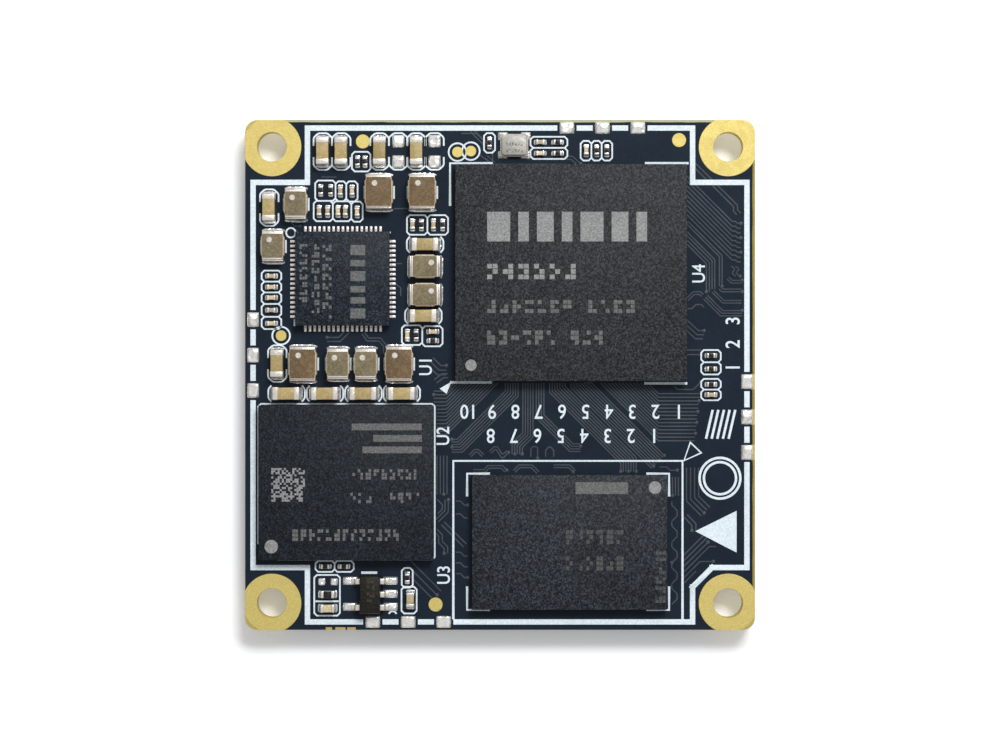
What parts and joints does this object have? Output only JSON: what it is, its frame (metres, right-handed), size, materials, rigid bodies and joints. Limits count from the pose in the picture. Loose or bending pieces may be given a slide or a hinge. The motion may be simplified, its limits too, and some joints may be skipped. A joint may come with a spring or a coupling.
{
  "type": "system on module",
  "caption": "Square computer module: a black circuit board with processor, memory, storage and power chips on top, gold-ringed corner screw holes and low plug connectors underneath.",
  "frame": {"origin": "middle of the module at the mating faces of the connectors that it stands on", "axes": "+Z out of the component side, +Y towards the edge nearest the processor, +X to the right"},
  "size_m": [0.038, 0.038, 0.0035],
  "materials": {
    "solder_mask": "navy-black solder mask over glass laminate, faint raised traces",
    "gold_plate": "satin gold over copper",
    "white_print": "white legend ink",
    "solder": "bright reflowed solder",
    "tin_plate": "matt tin plating",
    "processor_moulding": "speckled grey-black epoxy moulding",
    "storage_moulding": "fine dark epoxy moulding",
    "memory_moulding": "fine dark epoxy moulding",
    "power_chip_moulding": "smooth dark epoxy moulding",
    "regulator_moulding": "brown-black epoxy moulding",
    "carrier_laminate": "dark green chip carrier",
    "crystal_ceramic": "warm grey alumina",
    "lid_metal": "satin nickel lid",
    "tan_ceramic": "tan capacitor ceramic",
    "beige_ceramic": "beige capacitor ceramic",
    "white_alumina": "white alumina",
    "resistor_coat": "black glassy coat",
    "large_coil_moulding": "brown iron-powder moulding",
    "small_coil_moulding": "olive-tan iron-powder moulding",
    "connector_plastic": "black heat-resistant plastic"
  },
  "bodies": {
    "root": {"circuit_board": "solder_mask", "screw_hole_plating": "gold_plate", "gold_spots": "gold_plate", "printed_border": "white_print", "edge_pads": "solder", "bare_lands": "solder", "processor_moulding": "processor_moulding", "processor_carrier": "carrier_laminate", "processor_balls": "solder", "storage_moulding": "storage_moulding", "storage_carrier": "carrier_laminate", "storage_balls": "solder", "memory_moulding": "memory_moulding", "memory_carrier": "carrier_laminate", "memory_balls": "solder", "power_chip_body": "power_chip_moulding", "power_chip_terminals": "tin_plate", "power_chip_heat_pad": "tin_plate", "power_chip_solder": "solder", "crystal_base": "crystal_ceramic", "crystal_lid": "lid_metal", "regulator_body": "regulator_moulding", "regulator_leads": "tin_plate", "capacitor_ceramics": "tan_ceramic", "capacitor_end_caps": "tin_plate", "small_capacitor_ceramics": "beige_ceramic", "small_capacitor_end_caps": "tin_plate", "resistor_plates": "white_alumina", "resistor_coats": "resistor_coat", "resistor_end_caps": "tin_plate", "solder_joints": "solder", "coil_1_moulding": "small_coil_moulding", "coil_1_end_plates": "tin_plate", "coil_2_moulding": "small_coil_moulding", "coil_2_end_plates": "tin_plate", "coil_3_moulding": "large_coil_moulding", "coil_3_end_plates": "tin_plate", "coil_4_moulding": "large_coil_moulding", "coil_4_end_plates": "tin_plate", "coil_5_moulding": "large_coil_moulding", "coil_5_end_plates": "tin_plate", "coil_6_moulding": "small_coil_moulding", "coil_6_end_plates": "tin_plate", "coil_7_moulding": "small_coil_moulding", "coil_7_end_plates": "tin_plate", "coil_8_moulding": "large_coil_moulding", "coil_8_end_plates": "tin_plate", "coil_9_moulding": "small_coil_moulding", "coil_9_end_plates": "tin_plate", "coil_10_moulding": "small_coil_moulding", "coil_10_end_plates": "tin_plate", "connector_housing_rear": "connector_plastic", "connector_contacts_rear": "gold_plate", "connector_housing_right": "connector_plastic", "connector_contacts_right": "gold_plate", "connector_housing_front": "connector_plastic", "connector_contacts_front": "gold_plate", "connector_housing_left": "connector_plastic", "connector_contacts_left": "gold_plate"}
  },
  "joints": []
}
